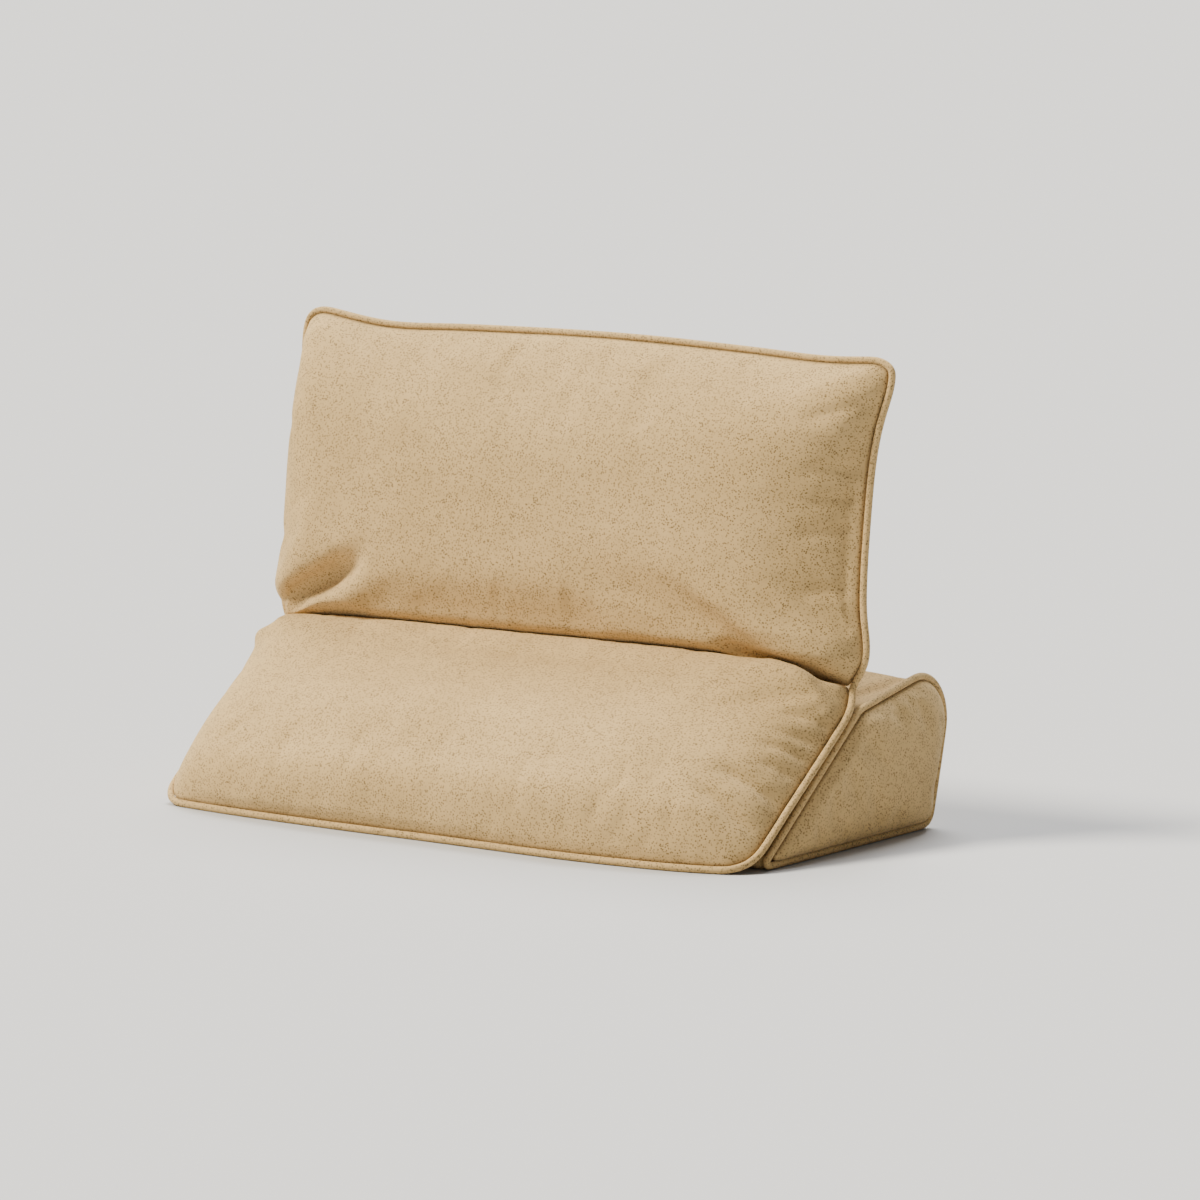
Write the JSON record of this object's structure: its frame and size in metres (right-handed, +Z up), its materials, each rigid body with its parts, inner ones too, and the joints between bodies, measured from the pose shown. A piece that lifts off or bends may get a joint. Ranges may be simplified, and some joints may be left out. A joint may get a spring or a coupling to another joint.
{
  "type": "back support cushion",
  "caption": "Free-standing back support cushion: a suede-cloth foam wedge carrying one long piped pad that lies on its slope and folds up into a backrest",
  "frame": {"origin": "under the middle of the box that holds the whole cushion, on the surface it stands on", "axes": "+X across the cushion along the sewn channel, +Y from the front edge of the seat to the back of the wedge, +Z up"},
  "size_m": [0.7218, 0.3758, 0.473],
  "materials": {
    "suede_cloth": "brushed microfibre suede with a short nap, warm beige",
    "covered_cord": "the same suede cloth wrapped round a thin cord"
  },
  "bodies": {
    "root": {"wedge_body": "suede_cloth", "wedge_end_left": "suede_cloth", "wedge_end_right": "suede_cloth", "wedge_piping_left": "covered_cord", "wedge_piping_right": "covered_cord", "pad": "suede_cloth", "pad_piping": "covered_cord"}
  },
  "joints": []
}
